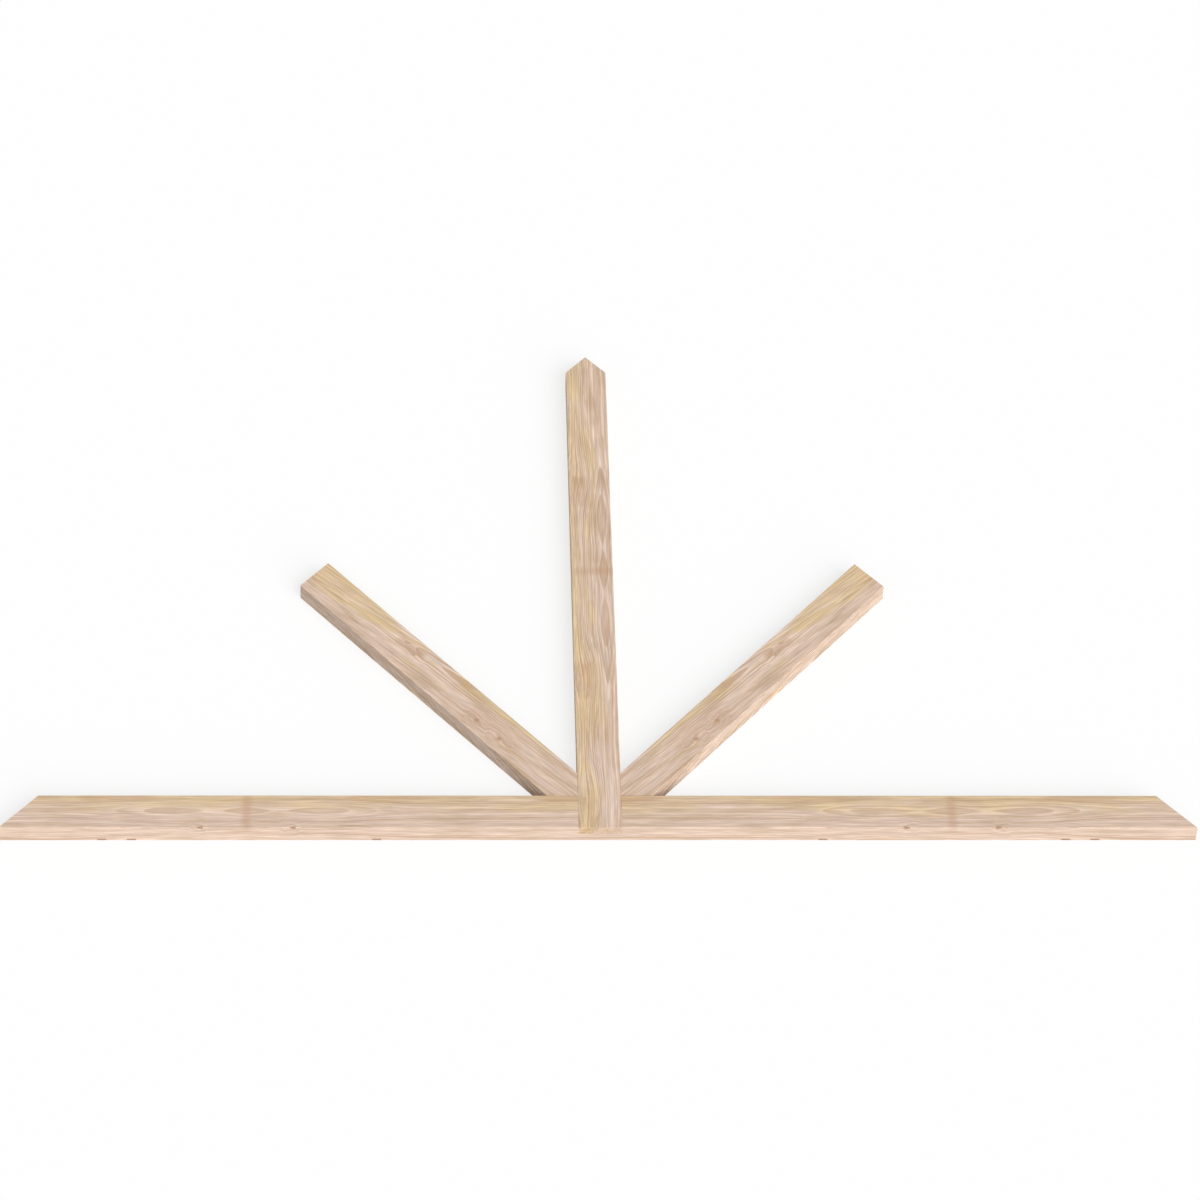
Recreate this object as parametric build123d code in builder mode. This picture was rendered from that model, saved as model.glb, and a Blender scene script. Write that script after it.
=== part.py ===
from build123d import *
from math import atan2, cos, sin, sqrt
import os

# Timber gable bracket
#
# A bottom chord spans the gable, a king post stands on its middle and reaches the peak, and two
# struts rise from the foot of the post to the roof line. All four are dressed timbers of one stock,
# flush with each other back and front.
#
# The bracket lies on its back. X runs along the chord, Y up the king post and Z from the back face
# to the front face. The origin is where the centre lines of chord and post cross, on the back face.

os.makedirs("parts", exist_ok=True)

# Overall sizes of the bracket
span = 96 * IN  # tip to tip of the chord, along its lower edge
height = 56 * IN  # from the chord's lower edge to the peak
thickness = 1.5 * IN  # from the back face to the front face

# Wide faces of the dressed timbers
chord_face = 3.5 * IN
post_face = 3.5 * IN
strut_face = 3.5 * IN

# Joint and edges
lap_depth = 0.75 * IN  # how far the post's foot is let into the front of the chord
arris_radius = 1.0  # the lightly eased long edges of each timber

# Faces that the other timbers meet
chord_top = chord_face / 2
chord_bottom = -chord_top
post_side = post_face / 2

# Roof line
#
# It runs from the peak to each tip of the chord, and every outer end is cut along it.
peak = chord_bottom + height
half_span = span / 2
slope = height / half_span
pitch = atan2(height, half_span)
roof_right = Plane(origin=(0, peak, 0), z_dir=(sin(pitch), cos(pitch), 0))
roof_left = Plane(origin=(0, peak, 0), z_dir=(-sin(pitch), cos(pitch), 0))

# Axis of the right strut
#
# Its foot fills the corner of post and chord with equal bearing on both, and its end sits halfway
# along the open stretch of roof line between the post's shoulder and the chord's upper corner.
foot_bearing = strut_face / sqrt(2)
foot_centre = Vector(post_side + foot_bearing / 2, chord_top + foot_bearing / 2)
post_shoulder = Vector(post_side, peak - slope * post_side)
chord_corner = Vector(half_span - chord_face / slope, chord_top)
strut_end = (post_shoulder + chord_corner) / 2
strut_run = strut_end - foot_centre


# The section of a dressed timber, with its long arrises eased, square to the way it runs
def timber_section(start, direction, face):
    with BuildSketch(Plane(origin=start, x_dir=(0, 0, 1), z_dir=direction)) as section:
        RectangleRounded(thickness, face, arris_radius)
    return section.sketch


# The outline of the lap joint, where the post crosses the chord
def lap_area(plane):
    with BuildSketch(plane) as area:
        Rectangle(post_face, chord_face)
    return area.sketch


# Bottom chord, notched in front for the foot of the post
with BuildPart() as bottom_chord:
    left_tip = (-half_span, 0, thickness / 2)
    extrude(timber_section(left_tip, (1, 0, 0), chord_face), amount=span)
    split(bisect_by=roof_right, keep=Keep.BOTTOM)
    split(bisect_by=roof_left, keep=Keep.BOTTOM)
    extrude(lap_area(Plane.XY.offset(thickness)), amount=-lap_depth, mode=Mode.SUBTRACT)

# King post, cut to both slopes at the peak and let into the chord at its foot
#
# The front edge of the foot is eased like the chord's own edge, which it continues.
with BuildPart() as king_post:
    post_foot = (0, chord_bottom, thickness / 2)
    extrude(timber_section(post_foot, (0, 1, 0), post_face), amount=height)
    split(bisect_by=roof_right, keep=Keep.BOTTOM)
    split(bisect_by=roof_left, keep=Keep.BOTTOM)
    extrude(lap_area(Plane.XY), amount=thickness - lap_depth, mode=Mode.SUBTRACT)
    foot_edges = king_post.edges().filter_by(Axis.X).group_by(Axis.Y)[0]
    fillet(foot_edges.sort_by(Axis.Z)[-1], radius=arris_radius)

# Right strut, cut against the post's side, the chord's top and the roof line
#
# The stock runs past both ends by its own width, so that each cut crosses it fully.
with BuildPart() as right_strut:
    along = strut_run.normalized()
    strut_start = foot_centre - along * strut_face + Vector(0, 0, thickness / 2)
    strut_length = strut_run.length + 2 * strut_face
    extrude(timber_section(strut_start, along, strut_face), amount=strut_length)
    split(bisect_by=Plane(origin=(post_side, 0, 0), z_dir=(1, 0, 0)), keep=Keep.TOP)
    split(bisect_by=Plane(origin=(0, chord_top, 0), z_dir=(0, 1, 0)), keep=Keep.TOP)
    split(bisect_by=roof_right, keep=Keep.BOTTOM)

# Left strut
with BuildPart() as left_strut:
    mirror(right_strut.part, about=Plane.YZ)

bottom_chord.part.label = "bottom_chord"
king_post.part.label = "king_post"
right_strut.part.label = "right_strut"
left_strut.part.label = "left_strut"

for piece in (bottom_chord.part, king_post.part, left_strut.part, right_strut.part):
    export_step(piece, f"parts/{piece.label}.step")
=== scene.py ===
# %% [markdown]
# A gable bracket is a flat timber frame that decorates the end of a roof, close under the eaves.
# This one has a bottom chord, a king post and two struts, all planed from softwood with the grain
# running along each timber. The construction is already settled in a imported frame, which Blender
# loads and never moves. Here the four timbers are made again as clean meshes with finely eased
# edges. Then they get wood that is solid all through, so that the figure on a face and the rings on
# a sawn end belong to the same tree. Everything is in metres.

# %% Load the frame
from math import atan2, cos, hypot, pi, radians, sin, sqrt

import bpy
from mathutils import Matrix, Vector


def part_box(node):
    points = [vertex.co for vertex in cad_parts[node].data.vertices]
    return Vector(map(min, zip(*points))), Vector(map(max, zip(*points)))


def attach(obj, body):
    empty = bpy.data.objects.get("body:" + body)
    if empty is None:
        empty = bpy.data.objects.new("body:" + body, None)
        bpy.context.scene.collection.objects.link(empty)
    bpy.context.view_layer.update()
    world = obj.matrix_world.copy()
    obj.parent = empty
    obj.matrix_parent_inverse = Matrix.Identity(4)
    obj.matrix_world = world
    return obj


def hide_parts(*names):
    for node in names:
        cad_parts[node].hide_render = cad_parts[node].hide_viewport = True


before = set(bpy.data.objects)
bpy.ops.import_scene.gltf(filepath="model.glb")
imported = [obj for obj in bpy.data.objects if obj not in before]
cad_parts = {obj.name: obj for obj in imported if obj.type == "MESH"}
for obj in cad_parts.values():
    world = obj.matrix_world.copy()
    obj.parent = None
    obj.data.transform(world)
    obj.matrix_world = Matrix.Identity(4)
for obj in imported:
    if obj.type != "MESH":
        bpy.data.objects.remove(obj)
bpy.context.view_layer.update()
print("nodes in the frame:", sorted(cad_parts))

# %% [markdown]
# Every size could be typed in again, but then the looks would not follow a change of the
# construction. So they are read from the frame: the boxes of the chord and the post give the span,
# the height and the dressed stock. The chord lies along X and the post along Y, with the back on
# the floor. The arris, the edge where two planed faces meet, is eased by a millimetre, as a
# carpenter does with one stroke of the plane so that it doesn't splinter.

# %% Read the sizes
chord_low, chord_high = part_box("bottom_chord")
post_low, post_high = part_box("king_post")
half_span = chord_high.x
chord_top = chord_high.y
chord_bottom = chord_low.y
peak = post_high.y
post_side = post_high.x
face = post_high.x - post_low.x
thickness = chord_high.z
middle = thickness / 2
lap_depth = thickness / 2
ARRIS_RADIUS = 0.001
ARRIS_STEPS = 4
print(f"span {2 * half_span:.4f} m, height {peak - chord_bottom:.4f} m")
print(f"stock {face * 1000:.1f} x {thickness * 1000:.1f} mm")

# %% [markdown]
# The ends of the chord, the tip of the post and the ends of the struts are all cut to the slope of
# the roof, because the rafters lie against them. A strut is set out by a carpenter's rule: it bears
# equally on the post and on the chord at its foot, and it ends halfway along the open stretch of
# roof line. Working the rule out again here gives the strut's axis, which the boxes don't tell.

# %% Set out the roof line and the struts
slope = (peak - chord_bottom) / half_span
roof_length = hypot(half_span, peak - chord_bottom)
roof_normal = Vector(((peak - chord_bottom) / roof_length, half_span / roof_length, 0))

foot_bearing = face / sqrt(2)
foot_centre = Vector((post_side + foot_bearing / 2, chord_top + foot_bearing / 2, 0))
post_shoulder = Vector((post_side, peak - slope * post_side, 0))
chord_corner = Vector((half_span - (chord_top - chord_bottom) / slope, chord_top, 0))
strut_end = (post_shoulder + chord_corner) / 2
strut_run = strut_end - foot_centre
strut_heading = atan2(strut_run.y, strut_run.x)
along_strut = Vector((cos(strut_heading), sin(strut_heading), 0))
print(f"the roof rises {slope * 12:.2f} in 12")
print(f"strut {strut_run.length * 1000:.0f} mm along its axis, {strut_heading * 180 / pi:.2f} degrees")

# %% [markdown]
# Node trees can be drawn by hand in the editor, but a tree that is built in code can be read, kept
# and changed like any other text. A few small helpers keep that code short. One sets a socket to a
# value or links another socket to it, and one adds a node with its settings and inputs. Three add a
# Math or Vector Math node and return its answer. The last makes a group with named inputs and
# outputs, so that it can be used again with other values.

# %% Helpers for node trees
def socket_type(value):
    if isinstance(value, tuple):
        return "NodeSocketColor" if len(value) == 4 else "NodeSocketVector"
    return "NodeSocketInt" if isinstance(value, int) else "NodeSocketFloat"


def feed(tree, socket, value):
    if isinstance(value, bpy.types.NodeSocket):
        tree.links.new(value, socket)
    else:
        socket.default_value = value


def add(tree, kind, settings=None, **inputs):
    node = tree.nodes.new(kind)
    for name, value in (settings or {}).items():
        setattr(node, name, value)
    for name, value in inputs.items():
        feed(tree, node.inputs[name.replace("_", " ")], value)
    return node


def calc(tree, operation, *values, kind="ShaderNodeMath", output=0):
    node = add(tree, kind, {"operation": operation})
    for socket, value in zip(node.inputs, values):
        feed(tree, socket, value)
    return node.outputs[output]


def vector_calc(tree, operation, *values, output="Vector"):
    return calc(tree, operation, *values, kind="ShaderNodeVectorMath", output=output)


def scaled(tree, vector, share):
    node = add(tree, "ShaderNodeVectorMath", {"operation": "SCALE"}, Scale=share)
    feed(tree, node.inputs[0], vector)
    return node.outputs[0]


def new_group(name, kind, inputs, outputs):
    tree = bpy.data.node_groups.new(name, kind)
    for label, value in inputs.items():
        named_type = isinstance(value, str)
        sort = value if named_type else socket_type(value)
        socket = tree.interface.new_socket(label, in_out="INPUT", socket_type=sort)
        if not named_type:
            socket.default_value = value
    for label, sort in outputs.items():
        tree.interface.new_socket(label, in_out="OUTPUT", socket_type=sort)
    return tree, tree.nodes.new("NodeGroupInput").outputs, tree.nodes.new("NodeGroupOutput").inputs


print("a number becomes", socket_type(1.0), "and a point becomes", socket_type((0.0, 0.0, 0.0)))


# %% [markdown]
# A timber is made the way a carpenter makes it: a length of dressed stock, then one saw cut after
# another. It could also be modelled by hand, or taken from the frame, but a rule is clearer, and
# here the eased edges can be finer than in the frame. Geometry Nodes hold the rule. The first group
# is the saw: it takes away everything on the waste side of a plane, with a large cube that stands
# on that plane.

# %% The saw cut
def taken_away(tree, timber, waste):
    cut = add(tree, "GeometryNodeMeshBoolean", {"operation": "DIFFERENCE", "solver": "EXACT"})
    feed(tree, cut.inputs["Mesh 1"], timber)
    feed(tree, cut.inputs["Mesh 2"], waste)
    return cut.outputs[0]


def saw_cut_group():
    tree, given, result = new_group(
        "Saw cut",
        "GeometryNodeTree",
        {
            "Timber": "NodeSocketGeometry",
            "Point": (0.0, 0.0, 0.0),
            "Waste side": (1.0, 0.0, 0.0),
            "Reach": 5.0,
        },
        {"Timber": "NodeSocketGeometry"},
    )
    half_reach = calc(tree, "MULTIPLY", given["Reach"], 0.5)
    outward = scaled(tree, given["Waste side"], half_reach)
    centre = vector_calc(tree, "ADD", given["Point"], outward)
    size = add(tree, "ShaderNodeCombineXYZ", X=given["Reach"], Y=given["Reach"], Z=given["Reach"])
    waste = add(tree, "GeometryNodeMeshCube", Size=size.outputs[0])
    turn = add(tree, "FunctionNodeAlignRotationToVector", {"axis": "Z"}, Vector=given["Waste side"])
    placed = add(
        tree,
        "GeometryNodeTransform",
        Geometry=waste.outputs[0],
        Translation=centre,
        Rotation=turn.outputs[0],
    )
    feed(tree, result["Timber"], taken_away(tree, given["Timber"], placed.outputs[0]))
    return tree


saw_cut = saw_cut_group()
print("the group", saw_cut.name, "takes", len(saw_cut.nodes), "nodes")


# %% [markdown]
# The second group planes the stock. A cube with a bevel would do as well, but sweeping a rectangle
# with rounded corners along a line keeps the ends square for the saw. Its ends are closed, because
# the cuts need a solid.

# %% The dressed stock
STOCK = {"Length": 1.0, "Face": 0.09, "Thickness": 0.04, "Arris radius": 0.001, "Arris steps": 4}


def dressed_stock_group():
    tree, given, result = new_group(
        "Dressed stock",
        "GeometryNodeTree",
        STOCK,
        {"Timber": "NodeSocketGeometry"},
    )
    section = add(
        tree,
        "GeometryNodeCurvePrimitiveQuadrilateral",
        Width=given["Face"],
        Height=given["Thickness"],
    )
    eased = add(
        tree,
        "GeometryNodeFilletCurve",
        {"mode": "POLY"},
        Curve=section.outputs[0],
        Count=given["Arris steps"],
        Radius=given["Arris radius"],
    )
    far_end = add(tree, "ShaderNodeCombineXYZ", X=given["Length"])
    line = add(tree, "GeometryNodeCurvePrimitiveLine", End=far_end.outputs[0])
    swept = add(
        tree,
        "GeometryNodeCurveToMesh",
        Curve=line.outputs[0],
        Profile_Curve=eased.outputs[0],
        Fill_Caps=True,
    )
    feed(tree, result["Timber"], swept.outputs[0])
    return tree


dressed_stock = dressed_stock_group()
print("the group", dressed_stock.name, "takes", len(dressed_stock.nodes), "nodes")


# %% [markdown]
# The chord and the post cross in one plane, so each gives up half its thickness where they meet: a
# lap joint. The third group is the chisel, which takes a box of wood away for it.

# %% The notch of the lap joint
def notch_group():
    tree, given, result = new_group(
        "Lap notch",
        "GeometryNodeTree",
        {
            "Timber": "NodeSocketGeometry",
            "Notch centre": (0.0, 0.0, 0.0),
            "Notch size": (0.1, 0.1, 0.1),
        },
        {"Timber": "NodeSocketGeometry"},
    )
    box = add(tree, "GeometryNodeMeshCube", Size=given["Notch size"])
    placed = add(
        tree,
        "GeometryNodeTransform",
        Geometry=box.outputs[0],
        Translation=given["Notch centre"],
    )
    feed(tree, result["Timber"], taken_away(tree, given["Timber"], placed.outputs[0]))
    return tree


lap_notch = notch_group()
print("groups so far:", [group.name for group in bpy.data.node_groups])


# %% [markdown]
# Each timber has a tree of its own, built from those groups: stock, laid along its centre line, then
# its saw cuts in order, then its notch where it has one. The sizes are named inputs of the tree, so
# they can be changed in the modifier panel too. The tree ends by making everything real, keeping the
# planed faces flat and giving them their wood.

# %% The tree of a timber
def timber_tree(name, cut_count, notched):
    inputs = {**STOCK, "Start": (0.0, 0.0, 0.0), "Heading": (0.0, 0.0, 0.0)}
    for number in range(1, cut_count + 1):
        inputs[f"Cut {number} point"] = (0.0, 0.0, 0.0)
        inputs[f"Cut {number} waste side"] = (1.0, 0.0, 0.0)
    if notched:
        inputs["Notch centre"] = (0.0, 0.0, 0.0)
        inputs["Notch size"] = (0.1, 0.1, 0.1)
    inputs["Wood"] = "NodeSocketMaterial"
    outputs = {"Timber": "NodeSocketGeometry"}
    tree, given, result = new_group(name, "GeometryNodeTree", inputs, outputs)

    stock = add(tree, "GeometryNodeGroup", {"node_tree": dressed_stock})
    for label in STOCK:
        feed(tree, stock.inputs[label], given[label])
    laid = add(
        tree,
        "GeometryNodeTransform",
        Geometry=stock.outputs[0],
        Translation=given["Start"],
        Rotation=given["Heading"],
    )
    timber = laid.outputs[0]
    for number in range(1, cut_count + 1):
        cut = add(tree, "GeometryNodeGroup", {"node_tree": saw_cut}, Timber=timber)
        feed(tree, cut.inputs["Point"], given[f"Cut {number} point"])
        feed(tree, cut.inputs["Waste side"], given[f"Cut {number} waste side"])
        timber = cut.outputs[0]
    if notched:
        notch = add(tree, "GeometryNodeGroup", {"node_tree": lap_notch}, Timber=timber)
        feed(tree, notch.inputs["Notch centre"], given["Notch centre"])
        feed(tree, notch.inputs["Notch size"], given["Notch size"])
        timber = notch.outputs[0]
    real = add(tree, "GeometryNodeRealizeInstances", Geometry=timber)
    flat = add(tree, "GeometryNodeSetShadeSmooth", Geometry=real.outputs[0], Shade_Smooth=False)
    dressed = add(tree, "GeometryNodeSetMaterial", Geometry=flat.outputs[0], Material=given["Wood"])
    feed(tree, result["Timber"], dressed.outputs[0])
    return tree


print("a timber tree is built when its timber is cut, with one group for each saw cut")


# %% [markdown]
# To use such a tree, an empty object gets it as a modifier, and the modifier gets the sizes by the
# identifier of each socket. The result is then kept as a plain mesh, and the maker is thrown away.
# A living modifier would work as well in Blender, but a plain mesh is the same in every program.

# %% Make a timber from its tree
def make_timber(name, wood, start, heading, length, cuts, notch=None):
    tree = timber_tree(f"{name} tree", len(cuts), notch is not None)
    values = {
        "Length": length,
        "Face": face,
        "Thickness": thickness,
        "Arris radius": ARRIS_RADIUS,
        "Arris steps": ARRIS_STEPS,
        "Start": start,
        "Heading": (0.0, 0.0, heading),
        "Wood": wood,
    }
    for number, (point, waste_side) in enumerate(cuts, 1):
        values[f"Cut {number} point"] = point
        values[f"Cut {number} waste side"] = waste_side
    if notch:
        values["Notch centre"], values["Notch size"] = notch

    maker = bpy.data.objects.new(f"{name}_maker", bpy.data.meshes.new(f"{name}_maker"))
    bpy.context.scene.collection.objects.link(maker)
    modifier = maker.modifiers.new("Timber", "NODES")
    modifier.node_group = tree
    for socket in tree.interface.items_tree:
        if socket.in_out == "INPUT":
            modifier[socket.identifier] = values[socket.name]
    bpy.context.view_layer.update()
    graph = bpy.context.evaluated_depsgraph_get()
    mesh = bpy.data.meshes.new_from_object(maker.evaluated_get(graph))
    mesh.name = name
    bpy.data.objects.remove(maker)
    piece = bpy.data.objects.new(name, mesh)
    bpy.context.scene.collection.objects.link(piece)
    print(name, "has", len(mesh.polygons), "faces")
    return piece


# %% [markdown]
# Now the wood. A picture of boards could be laid on each face, but then the lines on a side would
# not meet the lines on the front, and a sawn end would show no rings. Real timber is solid: every
# face is a slice through one trunk. So the wood is worked out in space, from where a point lies in
# the board: its distance along the grain, across the wide face and through the thickness. A few
# helpers for shader nodes come first. Colours are written as they look on screen and turned linear.
# A noise swings about one half, so where it has to push both ways it is moved to swing about zero.

# %% Helpers for the wood
def linear(red, green, blue):
    shares = [value / 255 for value in (red, green, blue)]
    return (*[s / 12.92 if s <= 0.04045 else ((s + 0.055) / 1.055) ** 2.4 for s in shares], 1.0)


def stretched(tree, place, along, across):
    return vector_calc(tree, "MULTIPLY", place, (along, across, across))


def noise(tree, place, seed, detail=1.0, roughness=0.5):
    return add(
        tree,
        "ShaderNodeTexNoise",
        {"noise_dimensions": "4D"},
        Vector=place,
        W=seed,
        Scale=1.0,
        Detail=detail,
        Roughness=roughness,
    ).outputs


def about_zero(tree, value):
    return calc(tree, "SUBTRACT", value, 0.5)


def ease(tree, value, low, high, to_low=0.0, to_high=1.0):
    return add(
        tree,
        "ShaderNodeMapRange",
        {"interpolation_type": "SMOOTHSTEP"},
        Value=value,
        From_Min=low,
        From_Max=high,
        To_Min=to_low,
        To_Max=to_high,
    ).outputs[0]


def bell(tree, value, reach, power=2.0):
    share = calc(tree, "POWER", calc(tree, "DIVIDE", value, reach), power)
    return calc(tree, "EXPONENT", calc(tree, "MULTIPLY", share, -1.0))


def blend(tree, share, first, second, mode="MIX"):
    node = add(tree, "ShaderNodeMix", {"data_type": "RGBA", "blend_type": mode})
    for number, value in ((0, share), (6, first), (7, second)):
        feed(tree, node.inputs[number], value)
    return node.outputs[2]


print("fir tan in linear light:", [round(value, 3) for value in linear(213, 188, 164)[:3]])


# %% [markdown]
# A tree adds one ring a year round its pith, the thin line at the heart of the trunk. So the first
# thing to know of a point in a board is how far it lies from that line. A straight pith would rule
# dead straight lines on the faces. Here a slow noise lets it wander a little on its way along the
# trunk, and the distance is measured square to the grain.

# %% The distance from the pith
PITH_WAVES = 2.2


def pith_distance(tree, given, board):
    line = add(tree, "ShaderNodeCombineXYZ", X=calc(tree, "MULTIPLY", board["X"], PITH_WAVES))
    drift = add(tree, "ShaderNodeSeparateColor")
    feed(tree, drift.inputs[0], noise(tree, line.outputs[0], given["Seed"])["Color"])
    across = about_zero(tree, drift.outputs[0])
    through = about_zero(tree, drift.outputs[1])
    across = calc(tree, "MULTIPLY_ADD", across, given["Wander across"], given["Pith across"])
    through = calc(tree, "MULTIPLY_ADD", through, given["Wander through"], given["Pith depth"])
    from_pith = add(
        tree,
        "ShaderNodeCombineXYZ",
        X=calc(tree, "SUBTRACT", board["Y"], across),
        Y=calc(tree, "SUBTRACT", board["Z"], through),
    )
    return vector_calc(tree, "LENGTH", from_pith.outputs[0], output="Value")


print("the pith wanders over about", round(1 / PITH_WAVES, 2), "m")


# %% [markdown]
# A flat-sawn face cuts the rings at a low angle, and that magnifies them. Where the trunk swelled by
# half a millimetre, the face shows a long closed spindle, and where the trunk tapers, a pointed
# arch. The photograph shows three spindles in a row, lying together in a few closed rings. So the
# swelling is a low lens, half a metre long, with a cosine on top: each crest is one spindle. Spindles
# could be painted one by one, but then the rings on the sides would know nothing of them.

# %% Where the trunk swelled
SPINDLE_STRETCH = 0.75
LENS_POWER = 6.0
RIPPLES_ALONG = 9.0
RIPPLES_ACROSS = 30.0


def swelling(tree, given, board):
    place = calc(tree, "SUBTRACT", calc(tree, "ABSOLUTE", board["X"]), given["Swell centre"])
    place = calc(tree, "ABSOLUTE", place)
    turns = calc(tree, "DIVIDE", place, given["Swell spacing"])
    turns = calc(tree, "POWER", turns, SPINDLE_STRETCH)
    wave = calc(tree, "COSINE", calc(tree, "MULTIPLY", turns, 2 * pi))
    swell = calc(tree, "MULTIPLY_ADD", wave, given["Spindle height"], given["Swell height"])
    return calc(tree, "MULTIPLY", swell, bell(tree, place, given["Swell reach"], LENS_POWER))


def ripples(tree, given):
    place = stretched(tree, given["Board"], RIPPLES_ALONG, RIPPLES_ACROSS)
    ripple = noise(tree, place, given["Seed"], detail=2.0)["Fac"]
    return calc(tree, "MULTIPLY", about_zero(tree, ripple), given["Ripple"])


print("ripples are about", round(100 / RIPPLES_ALONG), "cm long")


# %% [markdown]
# Each year's ring begins with pale, soft earlywood and ends in a darker line of latewood, sharp on
# its outer side. Good and bad years make rings of uneven width and strength, and a line is stronger
# here and weaker there along its way. A plain wave pattern could draw even lines. This group counts
# the years instead: the whole part of the count says which ring it is, and so how strong, and the
# rest says how far the year has come. A pair of numbers sets each season: the point in the year
# where it is nothing, and the point where it is full.

# %% The growth rings
SPELLS_PER_YEAR = 0.35
SPELL_STRENGTH = 1.6
LINE_WAVES = 5.0
STEP_TO_NEXT_RING = 7.3
LINE_RANGE = (0.3, 0.65, 0.45, 1.1)
YEAR_STRENGTH = (0.7, 0.3)
LATEWOOD_RISES = (0.2, 0.92)
LATEWOOD_STOPS = (1.0, 0.94)
EARLYWOOD_SEASON = (0.35, 0.02)


def year_count(tree, given, grown):
    steady = calc(tree, "DIVIDE", grown, given["Ring width"])
    spells = calc(tree, "MULTIPLY", steady, SPELLS_PER_YEAR)
    years = add(tree, "ShaderNodeCombineXYZ", X=spells)
    uneven = noise(tree, years.outputs[0], given["Seed"])["Fac"]
    shifted = calc(tree, "ADD", steady, given["Ring shift"])
    return calc(tree, "MULTIPLY_ADD", uneven, SPELL_STRENGTH, shifted)


def line_strength(tree, given, board, ring, year):
    along = add(
        tree,
        "ShaderNodeCombineXYZ",
        X=calc(tree, "MULTIPLY", board["X"], LINE_WAVES),
        Y=calc(tree, "MULTIPLY", ring, STEP_TO_NEXT_RING),
    )
    patchy = ease(tree, noise(tree, along.outputs[0], given["Seed"])["Fac"], *LINE_RANGE)
    strength = calc(tree, "MULTIPLY_ADD", year.outputs["Value"], *YEAR_STRENGTH)
    return calc(tree, "MULTIPLY", strength, patchy)


def growth_rings_group():
    tree, given, result = new_group(
        "Growth rings",
        "ShaderNodeTree",
        {
            "Board": (0.0, 0.0, 0.0),
            "Pith across": 0.0,
            "Pith depth": -0.025,
            "Ring width": 0.002,
            "Ring shift": 0.0,
            "Taper": 0.0,
            "Wander across": 0.008,
            "Wander through": 0.001,
            "Ripple": 0.0006,
            "Swell centre": 0.0,
            "Swell spacing": 0.17,
            "Swell reach": 0.28,
            "Swell height": 0.005,
            "Spindle height": 0.0004,
            "Seed": 0.0,
        },
        {
            "Latewood": "NodeSocketFloat",
            "Earlywood": "NodeSocketFloat",
            "Ring tone": "NodeSocketFloat",
        },
    )
    board = add(tree, "ShaderNodeSeparateXYZ", Vector=given["Board"]).outputs
    radius = pith_distance(tree, given, board)
    grown = calc(tree, "SUBTRACT", radius, swelling(tree, given, board))
    grown = calc(tree, "ADD", grown, ripples(tree, given))
    grown = calc(tree, "ADD", grown, calc(tree, "MULTIPLY", board["X"], given["Taper"]))
    count = year_count(tree, given, grown)
    ring = calc(tree, "FLOOR", count)
    season = calc(tree, "FRACT", count)

    year = add(tree, "ShaderNodeTexWhiteNoise", {"noise_dimensions": "2D"})
    key = add(tree, "ShaderNodeCombineXYZ", X=ring, Y=given["Seed"])
    feed(tree, year.inputs["Vector"], key.outputs[0])
    tone = add(tree, "ShaderNodeSeparateColor")
    feed(tree, tone.inputs[0], year.outputs["Color"])
    late = ease(tree, season, *LATEWOOD_RISES)
    late = calc(tree, "MULTIPLY", late, ease(tree, season, *LATEWOOD_STOPS))
    strength = line_strength(tree, given, board, ring, year)
    feed(tree, result["Latewood"], calc(tree, "MULTIPLY", late, strength))
    feed(tree, result["Earlywood"], ease(tree, season, *EARLYWOOD_SEASON))
    feed(tree, result["Ring tone"], tone.outputs[1])
    return tree


growth_rings = growth_rings_group()
print("the growth rings take", len(growth_rings.nodes), "nodes")


# %% [markdown]
# A branch grows outwards from the pith. Where the saw meets it there is a knot: round when it comes
# straight out of the face, drawn out to an eye when it slants, a long band when it runs across the
# board. The fibres part round it, over a stretch about three times as long as it is wide. A dark dot
# could be painted on the face, but a branch is a rod in the wood, so the group measures the distance
# from the rod's line, and fades the rod over the last part of its length. With a wide, soft rim the
# same group makes the faint brown smudges that lie in the wood beside a branch. On the chord it also
# paints shade: a darker band along the top edge, under the feet of the struts.

# %% The branches
PARTING_LENGTH = 0.35
SOLID_SHARE = 0.6


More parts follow.
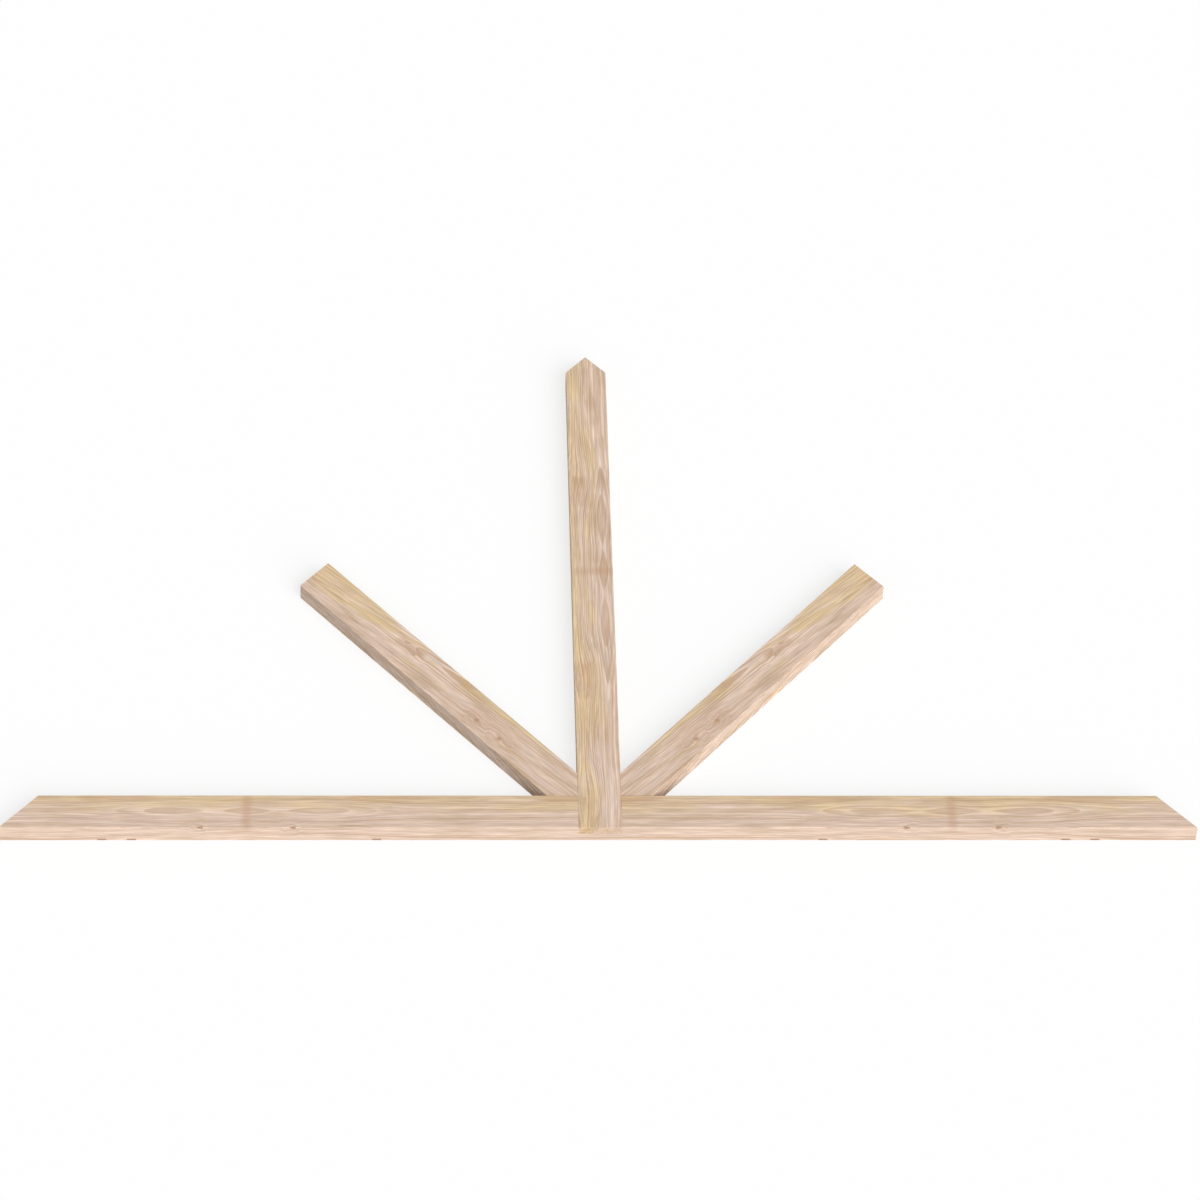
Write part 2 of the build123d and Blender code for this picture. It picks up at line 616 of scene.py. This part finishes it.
def branch_group():
    tree, given, result = new_group(
        "Branch",
        "ShaderNodeTree",
        {
            "Board": (0.0, 0.0, 0.0),
            "Knot at": (0.0, 0.0, 0.0),
            "Heading": (0.0, 0.0, 1.0),
            "Half length": 0.02,
            "Knot radius": 0.003,
            "Softness": 0.3,
            "Darkness": 1.0,
            "Flow": 0.0,
            "Flow reach": 0.02,
        },
        {"Knot": "NodeSocketFloat", "Parting": "NodeSocketVector"},
    )
    away = vector_calc(tree, "SUBTRACT", given["Board"], given["Knot at"])
    along = vector_calc(tree, "DOT_PRODUCT", away, given["Heading"], output="Value")
    within = calc(tree, "MULTIPLY", given["Half length"], SOLID_SHARE)
    inside = ease(tree, calc(tree, "ABSOLUTE", along), given["Half length"], within)
    back = calc(tree, "MULTIPLY", along, -1.0)
    backwards = add(tree, "ShaderNodeCombineXYZ", X=back, Y=back, Z=back)
    sideways = vector_calc(tree, "MULTIPLY_ADD", given["Heading"], backwards.outputs[0], away)
    gap = vector_calc(tree, "LENGTH", sideways, output="Value")
    soft = calc(tree, "MULTIPLY", given["Knot radius"], given["Softness"])
    rim = calc(tree, "ADD", given["Knot radius"], soft)
    core = calc(tree, "SUBTRACT", given["Knot radius"], soft)
    knot_and_shade = calc(tree, "MULTIPLY", ease(tree, gap, rim, core), inside)
    feed(tree, result["Knot"], calc(tree, "MULTIPLY", knot_and_shade, given["Darkness"]))

    drawn_out = stretched(tree, sideways, PARTING_LENGTH, 1.0)
    flow_gap = vector_calc(tree, "LENGTH", drawn_out, output="Value")
    flow = calc(tree, "MULTIPLY", bell(tree, flow_gap, given["Flow reach"]), inside)
    flow = calc(tree, "MULTIPLY", flow, calc(tree, "MULTIPLY", given["Flow"], -1.0))
    feed(tree, result["Parting"], scaled(tree, stretched(tree, sideways, 0.0, 1.0), flow))
    return tree


branch = branch_group()
print("a branch takes", len(branch.nodes), "nodes")


# %% [markdown]
# Between the rings the wood is never even. Fibres run along the grain as fine streaks, resin ducts
# show as short dark dashes, soft brown patches lie here and there, and the colour drifts from straw
# to rose over a hand's breadth. One noise with many octaves would mix all that up. Here each is a
# noise of its own, stretched along the grain to its own size, so that each can be set by itself.
# The waves are given per metre, first along the grain and then across it.

# %% The fibres and the drift of colour
STREAK_WAVES = (9.0, 260.0)
FINE_WAVES = (20.0, 450.0)
DUCT_WAVES = (60.0, 1100.0)
DRIFT_WAVES = (7.0, 32.0)
PATCH_WAVES = (8.0, 45.0)
DUCT_RANGE = (0.74, 0.84)
PATCH_RANGE = (0.42, 0.72)
STRAW_RANGE = (-0.03, 0.03)


def fibres_group():
    tree, given, result = new_group(
        "Fibres",
        "ShaderNodeTree",
        {
            "Board": (0.0, 0.0, 0.0),
            "Straw edge": 0.0,
            "Straw drift": 0.12,
            "Patch strength": 0.6,
            "Streak strength": 1.15,
            "Seed": 0.0,
        },
        {
            "Streaks": "NodeSocketFloat",
            "Fine streaks": "NodeSocketFloat",
            "Dashes": "NodeSocketFloat",
            "Patches": "NodeSocketFloat",
            "Straw share": "NodeSocketFloat",
        },
    )
    board = given["Board"]
    seed = given["Seed"]
    streaks = stretched(tree, board, *STREAK_WAVES)
    streaks = noise(tree, streaks, seed, detail=2.0, roughness=0.85)["Fac"]
    streaks = calc(tree, "MULTIPLY_ADD", about_zero(tree, streaks), given["Streak strength"], 0.5)
    fine = noise(tree, stretched(tree, board, *FINE_WAVES), seed)["Fac"]
    ducts = noise(tree, stretched(tree, board, *DUCT_WAVES), seed, detail=0.0)["Fac"]
    drift = noise(tree, stretched(tree, board, *DRIFT_WAVES), seed, detail=2.0)["Fac"]
    shade = stretched(tree, board, *PATCH_WAVES)
    shade = noise(tree, shade, seed, detail=3.0, roughness=0.6)["Fac"]
    across = add(tree, "ShaderNodeSeparateXYZ", Vector=board).outputs["Y"]
    across = calc(tree, "SUBTRACT", across, given["Straw edge"])
    strawy = calc(tree, "MULTIPLY_ADD", about_zero(tree, drift), given["Straw drift"], across)
    patches = calc(tree, "MULTIPLY", ease(tree, shade, *PATCH_RANGE), given["Patch strength"])
    feed(tree, result["Streaks"], streaks)
    feed(tree, result["Fine streaks"], fine)
    feed(tree, result["Dashes"], ease(tree, ducts, *DUCT_RANGE))
    feed(tree, result["Patches"], patches)
    feed(tree, result["Straw share"], ease(tree, strawy, *STRAW_RANGE))
    return tree


fibres = fibres_group()
print("the fibres take", len(fibres.nodes), "nodes")


# %% [markdown]
# A cut across the grain opens the ends of the fibres. The photograph shows one, at the foot of the
# post: nearly as pale as the planed faces, a little warmer and duller, as fresh cuts are. The saw
# leaves faint marks across it. Each end could get a material of its own, but then every cut would
# need a face picked by hand. The group finds the ends by their direction instead: a face that looks
# along the grain has been sawn.

# %% The sawn ends
END_RANGE = (0.3, 0.5)
MARK_WOBBLE = 4.0


def sawn_end_group():
    tree, given, result = new_group(
        "Sawn end",
        "ShaderNodeTree",
        {
            "Facing": (0.0, 0.0, 1.0),
            "Grain": (1.0, 0.0, 0.0),
            "Place": (0.0, 0.0, 0.0),
            "Mark spacing": 0.0016,
        },
        {"Sawn": "NodeSocketFloat", "Saw marks": "NodeSocketFloat"},
    )
    alike = vector_calc(tree, "DOT_PRODUCT", given["Facing"], given["Grain"], output="Value")
    sawn = ease(tree, calc(tree, "ABSOLUTE", alike), *END_RANGE)
    place = add(tree, "ShaderNodeSeparateXYZ", Vector=given["Place"]).outputs
    wobble = noise(tree, given["Place"], 0.0, detail=2.0)["Fac"]
    stroke = calc(tree, "DIVIDE", place["Z"], given["Mark spacing"])
    stroke = calc(tree, "MULTIPLY_ADD", wobble, MARK_WOBBLE, stroke)
    marks = calc(tree, "SINE", calc(tree, "MULTIPLY", stroke, 2 * pi))
    feed(tree, result["Sawn"], sawn)
    feed(tree, result["Saw marks"], calc(tree, "MULTIPLY", marks, sawn))
    return tree


sawn_end = sawn_end_group()
print("the sawn ends take", len(sawn_end.nodes), "nodes")


# %% [markdown]
# The colour of the wood is mixed from those masks, in the order in which they lie in real wood: the
# ground colour between straw and rose with its patches, the light and dark of the fibres, the
# latewood over it, the dashes, the knots, and last the sawn ends. The knots' mask also carries a band
# of painted shade on the chord, under the feet of the struts, which takes the stain colour. Lamps and
# floor are white, so the colours can be written as they should look.

# %% The colours
STRAW = linear(217, 192, 153)
ROSE = linear(218, 195, 178)
LATEWOOD = linear(182, 143, 108)
PATCH = linear(190, 164, 136)
RESIN = linear(168, 124, 88)
# This brown is the stain round knots, and it also paints shade in the band under the feet of the
# struts.
STAIN_AND_SHADE = linear(186, 144, 112)
KNOT = linear(132, 92, 62)
SAWN = linear(254, 250, 246)
print("the knots are darker than the ground by a factor of", round(ROSE[1] / KNOT[1], 1))


# %% [markdown]
# The same masks set how dull the surface is and how high it stands. Latewood is hard: the plane
# leaves it a touch smoother and prouder than the soft earlywood, and the opened ends of the fibres
# scatter more light. All of it goes through one group, so that the four woods can't drift apart.
# A pair for the light says how much its mask adds, and how light the wood is without it.

# %% The colour, the dullness and the relief of the wood
TONE_LIGHT = (0.12, 0.92)
STREAK_LIGHT = (0.8, 0.62)
FINE_LIGHT = (0.5, 0.75)
EARLYWOOD_LIGHT = 0.08
DASH_SHARE = 0.45
# The halo range also sets how strongly the band of painted shade under the struts' feet shows.
HALO_AND_SHADE_RANGE = (0.0, 0.5, 0.0, 0.5)
CORE_RANGE = (0.4, 1.0, 0.0, 0.85)
SAWN_SHARE = 0.8
PLANED_DULLNESS = 0.62
LATEWOOD_DULLNESS = -0.1
SAWN_DULLNESS = 0.18
LATEWOOD_HEIGHT = 0.5
STREAK_HEIGHT = 0.4


def wood_colour_group():
    tree, given, result = new_group(
        "Wood colour",
        "ShaderNodeTree",
        {
            "Straw": STRAW,
            "Rose": ROSE,
            "Latewood colour": LATEWOOD,
            "Latewood": 0.0,
            "Latewood strength": 1.0,
            "Earlywood": 0.0,
            "Ring tone": 0.5,
            "Straw share": 0.5,
            "Streaks": 0.5,
            "Fine streaks": 0.5,
            "Dashes": 0.0,
            "Patches": 0.0,
            "Knot": 0.0,
            "Sawn": 0.0,
        },
        {"Colour": "NodeSocketColor", "Roughness": "NodeSocketFloat", "Height": "NodeSocketFloat"},
    )
    colour = blend(tree, given["Straw share"], given["Rose"], given["Straw"])
    colour = blend(tree, given["Patches"], colour, PATCH)
    light = calc(tree, "MULTIPLY_ADD", given["Ring tone"], *TONE_LIGHT)
    light = calc(tree, "MULTIPLY_ADD", given["Earlywood"], EARLYWOOD_LIGHT, light)
    streak = calc(tree, "MULTIPLY_ADD", given["Streaks"], *STREAK_LIGHT)
    light = calc(tree, "MULTIPLY", light, streak)
    fine = calc(tree, "MULTIPLY_ADD", given["Fine streaks"], *FINE_LIGHT)
    light = calc(tree, "MULTIPLY", light, fine)
    grey = add(tree, "ShaderNodeCombineColor", Red=light, Green=light, Blue=light)
    colour = blend(tree, 1.0, colour, grey.outputs[0], "MULTIPLY")
    late = calc(tree, "MULTIPLY", given["Latewood"], given["Latewood strength"])
    colour = blend(tree, late, colour, given["Latewood colour"])
    colour = blend(tree, calc(tree, "MULTIPLY", given["Dashes"], DASH_SHARE), colour, RESIN)
    # The halo blend lays the stain round knots, and on the chord it also paints shade under the
    # struts' feet.
    colour = blend(tree, ease(tree, given["Knot"], *HALO_AND_SHADE_RANGE), colour, STAIN_AND_SHADE)
    colour = blend(tree, ease(tree, given["Knot"], *CORE_RANGE), colour, KNOT)
    sawn = blend(tree, 1.0, colour, SAWN, "MULTIPLY")
    colour = blend(tree, calc(tree, "MULTIPLY", given["Sawn"], SAWN_SHARE), colour, sawn)

    dull = calc(tree, "MULTIPLY_ADD", given["Latewood"], LATEWOOD_DULLNESS, PLANED_DULLNESS)
    dull = calc(tree, "MULTIPLY_ADD", given["Sawn"], SAWN_DULLNESS, dull)
    height = calc(tree, "MULTIPLY_ADD", given["Latewood"], LATEWOOD_HEIGHT, given["Fine streaks"])
    height = calc(tree, "MULTIPLY_ADD", given["Streaks"], STREAK_HEIGHT, height)
    feed(tree, result["Colour"], colour)
    feed(tree, result["Roughness"], dull)
    feed(tree, result["Height"], height)
    return tree


wood_colour = wood_colour_group()
print("the colour takes", len(wood_colour.nodes), "nodes")


# %% [markdown]
# The material turns the object's coordinates into board coordinates with a Mapping node, which has
# its start on the timber's centre line and its first axis along the grain. It then places the groups
# with this timber's values. The branches come first, because the rings and fibres bend round them.
# The shader itself is a plain rough one: bare wood has no lacquer. Two bumps give it relief, one for
# the raised grain and one for the marks of the saw.

# %% Putting a wood together
GRAIN_RELIEF = {"Strength": 0.35, "Distance": 0.0002}
SAW_RELIEF = {"Strength": 0.5, "Distance": 0.0003}


def bend_round_branches(tree, board, branches):
    apart = add(tree, "ShaderNodeSeparateXYZ", Vector=board).outputs
    either_way = calc(tree, "ABSOLUTE", apart["X"])
    matched = add(tree, "ShaderNodeCombineXYZ", X=either_way, Y=apart["Y"], Z=apart["Z"])
    # This mask gathers the knots and smudges, and on the chord the painted shade under the struts'
    # feet.
    knot_and_shade = 0.0
    bent = board
    for values in branches:
        node = add(
            tree, "ShaderNodeGroup", {"node_tree": branch}, Board=matched.outputs[0], **values
        )
        knot_and_shade = calc(tree, "MAXIMUM", knot_and_shade, node.outputs["Knot"])
        bent = vector_calc(tree, "ADD", bent, node.outputs["Parting"])
    return knot_and_shade, bent


def make_wood(name, start, heading, colours, rings, branches, side=1.0, contrast=1.0):
    material = bpy.data.materials.new(name)
    material.use_nodes = True
    tree = material.node_tree
    source = add(tree, "ShaderNodeTexCoord").outputs
    board = add(
        tree,
        "ShaderNodeMapping",
        {"vector_type": "TEXTURE"},
        Vector=source["Object"],
        Location=start,
        Rotation=(0.0, 0.0, heading),
        Scale=(1.0, side, 1.0),
    ).outputs[0]
    knot_and_shade, bent = bend_round_branches(tree, board, branches)
    grown = add(tree, "ShaderNodeGroup", {"node_tree": growth_rings}, Board=bent, **rings).outputs
    fibre = add(tree, "ShaderNodeGroup", {"node_tree": fibres}, Board=bent, **colours).outputs
    end = add(
        tree,
        "ShaderNodeGroup",
        {"node_tree": sawn_end},
        Facing=source["Normal"],
        Grain=(cos(heading), sin(heading), 0.0),
        Place=source["Object"],
    ).outputs
    mixed = add(tree, "ShaderNodeGroup", {"node_tree": wood_colour}, Knot=knot_and_shade)
    mixed.inputs["Latewood strength"].default_value = contrast
    for outputs in (grown, fibre, end):
        for socket in outputs:
            if socket.name in mixed.inputs:
                feed(tree, mixed.inputs[socket.name], socket)

    relief = add(tree, "ShaderNodeBump", Height=mixed.outputs["Height"], **GRAIN_RELIEF)
    marks = add(tree, "ShaderNodeBump", Height=end["Saw marks"], **SAW_RELIEF)
    feed(tree, marks.inputs["Normal"], relief.outputs[0])
    shader = tree.nodes["Principled BSDF"]
    feed(tree, shader.inputs["Base Color"], mixed.outputs["Colour"])
    feed(tree, shader.inputs["Roughness"], mixed.outputs["Roughness"])
    feed(tree, shader.inputs["Normal"], marks.outputs[0])
    print(name, "has", len(tree.nodes), "nodes and", len(branches), "branches")
    return material


# %% [markdown]
# Three kinds of branch are needed again and again, so each gets a helper that fills in the group's
# inputs. Places are in board coordinates: along the grain, across the face, and through the
# thickness from its middle.

# %% Kinds of branch
FRONT = middle
BACK = -middle
EDGE = face / 2
ALONG_GRAIN = (1.0, 0.0, 0.0)
ACROSS_FACE = (0.0, 1.0, 0.0)
SOFT_TO_THE_CORE = 1.0


def knot_at(place, heading, radius, softness=0.3, darkness=1.0, **others):
    values = {
        "Knot_at": place,
        "Heading": Vector(heading).normalized(),
        "Knot_radius": radius,
        "Softness": softness,
        "Darkness": darkness,
    }
    values.update(others)
    return values


# A smudge is a soft brown rim in the wood. On the chord the same helper also paints a band of shade.
def smudge_and_shade_at(place, radius, half_length, darkness):
    return knot_at(
        place, ALONG_GRAIN, radius, SOFT_TO_THE_CORE, darkness, Half_length=half_length
    )


def band_at(along, radius, darkness, across=0.0, half_length=0.06):
    place = (along, across, FRONT)
    return knot_at(
        place, ACROSS_FACE, radius, SOFT_TO_THE_CORE, darkness, Half_length=half_length
    )


sockets = branch.interface.items_tree
print("the inputs of a branch:", [socket.name for socket in sockets if socket.in_out == "INPUT"])


# %% [markdown]
# The photograph shows the same figure on the chord to the left and to the right of the post, as if a
# board had been opened like a book there. So the swellings and branches read how far a point is from
# the post, to either side, while the fibres go on without a mirror. Each half has three spindles
# with a brown band across the middle one, two small knots on the lower front arris, and smudges
# towards the top edge. A darker band of painted shade runs along the top of the chord under the feet
# of the struts, where they meet it. The values were found by comparing many seeds with the photograph.

# %% The wood of the chord
chord_branches_and_shade = [
    band_at(0.719, radius=0.010, darkness=0.38),
    smudge_and_shade_at((0.985, 0.038, FRONT), radius=0.010, half_length=0.10, darkness=0.3),
    smudge_and_shade_at((0.435, 0.038, FRONT), radius=0.010, half_length=0.10, darkness=0.3),
    # These two smudges paint shade: a darker band along the top of the chord, under the feet of the
    # struts.
    smudge_and_shade_at((0.0, 0.038, FRONT), radius=0.008, half_length=0.16, darkness=0.36),
    smudge_and_shade_at((0.0, 0.031, FRONT), radius=0.004, half_length=0.16, darkness=0.6),
]
for along in (0.814, 0.626):
    place = (along, -EDGE, FRONT)
    slanting = (0.9, -0.3, 0.3)
    chord_branches_and_shade.append(knot_at(place, slanting, radius=0.0028, darkness=0.75, Flow=0.5))
for along in (1.012, 0.952, 0.455):
    place = (along, -EDGE, BACK)
    looks = {"radius": 0.005, "softness": 0.7, "darkness": 0.9, "Half_length": 0.012}
    chord_branches_and_shade.append(knot_at(place, ALONG_GRAIN, **looks))
chord_wood = make_wood(
    "chord_wood_grain_and_shade",
    (0.0, 0.0, middle),
    0.0,
    {"Seed": 4.0, "Straw_edge": 0.016},
    {
        "Seed": 6.0,
        "Pith_across": 0.002,
        "Pith_depth": -0.0250,
        "Ring_width": 0.0024,
        "Ring_shift": 0.74,
        "Swell_centre": 0.719,
        "Spindle_height": 0.0006,
    },
    chord_branches_and_shade,
    contrast=0.8,
)

# %% [markdown]
# The post has its spindles on the right, where the pith lies behind the face. On the left the rings
# bend round three hidden branches, and fan out over them. Such a branch gets a soft core and a wide
# parting of the grain. A band crosses the middle of the board, with a darker core inside the middle
# spindle. Here the start is at the foot, so the places are heights above it.

# %% The wood of the post
post_branches = [
    smudge_and_shade_at((0.415, 0.016, FRONT), radius=0.018, half_length=0.07, darkness=0.3),
    smudge_and_shade_at((0.985, 0.016, FRONT), radius=0.018, half_length=0.06, darkness=0.3),
    smudge_and_shade_at((0.060, 0.015, FRONT), radius=0.016, half_length=0.06, darkness=0.2),
    band_at(0.740, radius=0.012, darkness=0.3),
    band_at(0.742, radius=0.012, darkness=0.45, across=-0.020, half_length=0.02),
]
for height in (0.430, 1.030, 0.080):
    place = (height, 0.030, FRONT)
    leaning = (0.0, 0.3, 0.9)
    looks = {"radius": 0.005, "softness": 0.9, "darkness": 0.4}
    fan = {"Half_length": 0.04, "Flow": 1.05, "Flow_reach": 0.034}
    post_branches.append(knot_at(place, leaning, **looks, **fan))
post_wood = make_wood(
    "post_wood_grain",
    (0.0, chord_bottom, middle),
    pi / 2,
    {
        "Seed": 7.0,
        "Straw_edge": 0.01,
        "Straw_drift": 0.2,
        "Patch_strength": 0.85,
        "Streak_strength": 1.4,
    },
    {
        "Seed": 6.0,
        "Pith_across": -0.024,
        "Pith_depth": -0.0250,
        "Ring_width": 0.0026,
        "Ring_shift": -0.06,
        "Swell_centre": 0.742,
        "Spindle_height": 0.0006,
    },
    post_branches,
)

# %% [markdown]
# The struts mirror each other. Their grain runs a few degrees off the edge, so that the rings leave
# the board through its upper side, and the trunk tapers, which draws long pointed arches. There is
# no swelling here, so its heights are zero. The knots were measured along the strut, and a small
# helper turns those places into board coordinates, which follow the grain.

# %% The wood of the struts
GRAIN_SLOPE = radians(4.7)


def on_strut(along, across):
    turned = Matrix.Rotation(GRAIN_SLOPE, 2) @ Vector((along, across))
    return turned.x, turned.y, FRONT


strut_rings = {
    "Seed": 31.0,
    "Pith_across": 0.062,
    "Pith_depth": -0.0230,
    "Ring_width": 0.0028,
    "Ring_shift": 0.64,
    "Taper": 0.018,
    "Ripple": 0.0015,
    "Swell_height": 0.0,
    "Spindle_height": 0.0,
}
strut_colours = {
    "Seed": 11.0,
    "Straw_edge": 0.066,
    "Straw_drift": 0.35,
    "Patch_strength": 0.85,
    "Streak_strength": 1.4,
}
slant_down = (0.5, -0.3, 0.9)
slant_up = (0.5, 0.3, 0.9)
strut_branches = [
    knot_at(on_strut(0.180, -0.015), slant_down, 0.0065, softness=0.95, darkness=0.72, Flow=0.5),
    knot_at(on_strut(0.250, -0.015), slant_down, 0.0065, softness=0.95, darkness=0.68, Flow=0.5),
    knot_at(on_strut(0.480, 0.008), slant_up, 0.004, softness=0.9, darkness=0.6, Flow=0.2),
    smudge_and_shade_at(on_strut(0.500, 0.018), radius=0.012, half_length=0.05, darkness=0.35),
    smudge_and_shade_at(on_strut(0.210, -0.005), radius=0.024, half_length=0.10, darkness=0.25),
]


def strut_wood(name, side, heading):
    start = (side * foot_centre.x, foot_centre.y, middle)
    given = (strut_colours, strut_rings, strut_branches)
    return make_wood(name, start, heading, *given, side=side, contrast=0.85)


right_wood = strut_wood("right_strut_grain", 1.0, strut_heading - GRAIN_SLOPE)
left_wood = strut_wood("left_strut_grain", -1.0, pi - strut_heading + GRAIN_SLOPE)

# %% [markdown]
# The chord is as long as the span, and the roof line takes a wedge off each end. The post is as long
# as the height, and the same two cuts give it its point. Where they cross, the chord loses its front
# half and the post its back half. The boxes of the notches reach a little beyond the wood, because a
# cut that ends exactly on a face leaves slivers. The front edge of the post's foot runs on from the
# chord's eased edge, so a few thin cuts round it off too. A bevel would ease every edge of the foot.

# %% Cut the chord and the post
OVERRUN = 0.01
chord_middle = (chord_top + chord_bottom) / 2
chord_face = chord_top - chord_bottom
roof_point = Vector((0, peak, middle))
roof_right = (roof_point, roof_normal)
roof_left = (roof_point, Vector((-roof_normal.x, roof_normal.y, 0)))

arris_centre = Vector((0, chord_bottom + ARRIS_RADIUS, thickness - ARRIS_RADIUS))
foot_arris = []
for step in range(1, ARRIS_STEPS):
    tilt = step * pi / 2 / ARRIS_STEPS
    outwards = Vector((0, -cos(tilt), sin(tilt)))
    foot_arris.append((arris_centre + ARRIS_RADIUS * outwards, outwards))

chord_notch = (
    (0.0, chord_middle, thickness - lap_depth / 2 + OVERRUN / 2),
    (face, chord_face + 2 * OVERRUN, lap_depth + OVERRUN),
)
foot_notch = (
    (0.0, chord_middle - OVERRUN / 2, (thickness - lap_depth - OVERRUN) / 2),
    (face + 2 * OVERRUN, chord_face + OVERRUN, thickness - lap_depth + OVERRUN),
)
chord = make_timber(
    "chord_timber",
    chord_wood,
    (-half_span, 0.0, middle),
    0.0,
    2 * half_span,
    [roof_right, roof_left],
    chord_notch,
)
post = make_timber(
    "post_timber",
    post_wood,
    (0.0, chord_bottom, middle),
    pi / 2,
    peak - chord_bottom,
    [roof_right, roof_left, *foot_arris],
    foot_notch,
)

# %% [markdown]
# A strut starts as a length that is too long at both ends. Three cuts bring it to size: one flush
# with the side of the post, one flush with the top of the chord, and one along the roof line. One
# function makes both struts. Scaling the right one by minus one would mirror it too, but would turn
# its faces inside out, so the mirror is in the numbers: the side is plus or minus one.

# %% Cut the struts
def make_strut(name, wood, side):
    start = foot_centre - face * along_strut
    cuts = [
        (Vector((side * post_side, 0, middle)), Vector((-side, 0, 0))),
        (Vector((0, chord_top, middle)), Vector((0, -1, 0))),
        (roof_point, roof_normal * Vector((side, 1, 1))),
    ]
    return make_timber(
        name,
        wood,
        Vector((side * start.x, start.y, middle)),
        strut_heading if side > 0 else pi - strut_heading,
        strut_run.length + 2 * face,
        cuts,
    )


left_strut = make_strut("left_strut_timber", left_wood, -1)
right_strut = make_strut("right_strut_timber", right_wood, 1)

# %% [markdown]
# Each new timber takes the place of one node of the frame and rides with the frame's only body.
# Before that it is held against the construction: the two boxes have to agree far more closely than
# anyone could see.

# %% Hand the timbers to the frame
for piece, node, slot in (
    (chord, "bottom_chord", "chord_wood"),
    (post, "king_post", "post_wood"),
    (left_strut, "left_strut", "strut_wood"),
    (right_strut, "right_strut", "strut_wood"),
):
    low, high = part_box(node)
    corners = [vertex.co for vertex in piece.data.vertices]
    made_low = Vector([min(corner[axis] for corner in corners) for axis in range(3)])
    made_high = Vector([max(corner[axis] for corner in corners) for axis in range(3)])
    off = max(abs(value) for value in (*(made_low - low), *(made_high - high)))
    print(f"{piece.name} is off its box by {off * 1000:.4f} mm")
    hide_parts(node)
    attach(piece, "root")

# %% [markdown]
# The bracket lies on a plain pale floor. In the photograph everything round it is white, with no
# horizon. A floor that only reflects would look grey, so most of what the camera sees of it is a
# white glow, and the rest is lit paint, which keeps the soft shadow under the timbers. For the light
# that bounces back up the floor is a middle grey instead: a white one would lift the shaded sides.

# %% The floor
FLOOR_FOR_BOUNCES = (0.45, 0.45, 0.45, 1)
FLOOR_FOR_THE_EYE = (0.98, 0.98, 0.98, 1)
GLOW_SHARE = 0.72
FLOOR_SIZE = 60


def seen_directly(tree):
    path = add(tree, "ShaderNodeLightPath").outputs
    seen = calc(tree, "MAXIMUM", path["Is Camera Ray"], path["Is Glossy Ray"])
    return calc(tree, "MAXIMUM", seen, path["Is Transmission Ray"])


def floor_material():
    material = bpy.data.materials.new("pale_floor")
    material.use_nodes = True
    tree = material.node_tree
    tree.nodes.clear()
    seen = seen_directly(tree)
    paint = blend(tree, seen, FLOOR_FOR_BOUNCES, FLOOR_FOR_THE_EYE)
    lit = add(tree, "ShaderNodeBsdfDiffuse", Color=paint)
    glow = add(tree, "ShaderNodeEmission", Strength=1.0)
    both = add(tree, "ShaderNodeMixShader")
    feed(tree, both.inputs[0], calc(tree, "MULTIPLY", seen, GLOW_SHARE))
    feed(tree, both.inputs[1], lit.outputs[0])
    feed(tree, both.inputs[2], glow.outputs[0])
    add(tree, "ShaderNodeOutputMaterial", Surface=both.outputs[0])
    return material


bpy.ops.mesh.primitive_plane_add(size=FLOOR_SIZE, location=(0, 0, 0))
floor = bpy.context.object
floor.name = "floor"
floor.data.materials.append(floor_material())
print("the floor is", round(floor.dimensions.x), "m wide")

# %% [markdown]
# The light is read off the photograph: the undersides of the chord and of the right strut are the
# brightest faces, the fronts come next, and the left strut's underside is the darkest. So one broad
# lamp stands low in front, to the right, and an even white surrounding fills the rest. An area lamp
# would fall off over the two metres of the chord, so a sun with a wide angle is used. Its strength
# is given as one vector: each part of it is the light that a face looking that way receives.

# %% The light
KEY_LIGHT = Vector((0.43, -0.75, 0.52))
SURROUNDINGS = 0.48
LAMP_WIDTH = radians(50)

sun_data = bpy.data.lights.new("key", "SUN")
sun_data.energy = pi * KEY_LIGHT.length
sun_data.angle = LAMP_WIDTH
sun = bpy.data.objects.new("key", sun_data)
sun.rotation_euler = KEY_LIGHT.to_track_quat("Z", "Y").to_euler()
bpy.context.scene.collection.objects.link(sun)

world = bpy.data.worlds.new("studio")
bpy.context.scene.world = world
world.use_nodes = True
seen = seen_directly(world.node_tree)
strength = calc(world.node_tree, "MULTIPLY_ADD", seen, 1 - SURROUNDINGS, SURROUNDINGS)
background = world.node_tree.nodes["Background"]
background.inputs["Color"].default_value = (1, 1, 1, 1)
feed(world.node_tree, background.inputs["Strength"], strength)
print("light on a front face:", round(KEY_LIGHT.z + SURROUNDINGS, 2))

# %% [markdown]
# The camera looks down on the bracket at 45 degrees, through a long lens from about ten metres, so
# that the lines hardly run together. Its place could be found by nudging it until the outlines fit.
# It was worked out instead: the corners of the timbers were measured in the photograph, and the
# place, the lens and the small turns were fitted to them. The camera is placed as on an arm: aim,
# swing round, tilt, roll, and step back.

# %% The camera
AIM = Vector((0.0147, 0.6089, 0.0381))
DISTANCE = 10.111
AZIMUTH = radians(-2.949)
ELEVATION = radians(45.039)
ROLL = radians(2.191)
LENS = 142.5
SENSOR_WIDTH = 36
FARTHEST_SEEN = 100

camera_data = bpy.data.cameras.new("camera")
camera_data.lens = LENS
camera_data.sensor_width = SENSOR_WIDTH
camera_data.clip_end = FARTHEST_SEEN
camera = bpy.data.objects.new("camera", camera_data)
bpy.context.scene.collection.objects.link(camera)
camera.matrix_world = (
    Matrix.Translation(AIM)
    @ Matrix.Rotation(AZIMUTH, 4, "Z")
    @ Matrix.Rotation(pi / 2 - ELEVATION, 4, "X")
    @ Matrix.Rotation(ROLL, 4, "Z")
    @ Matrix.Translation((0, 0, DISTANCE))
)
bpy.context.scene.camera = camera
bpy.context.scene.view_settings.view_transform = "Standard"
print("camera at", [round(value, 2) for value in camera.matrix_world.translation])
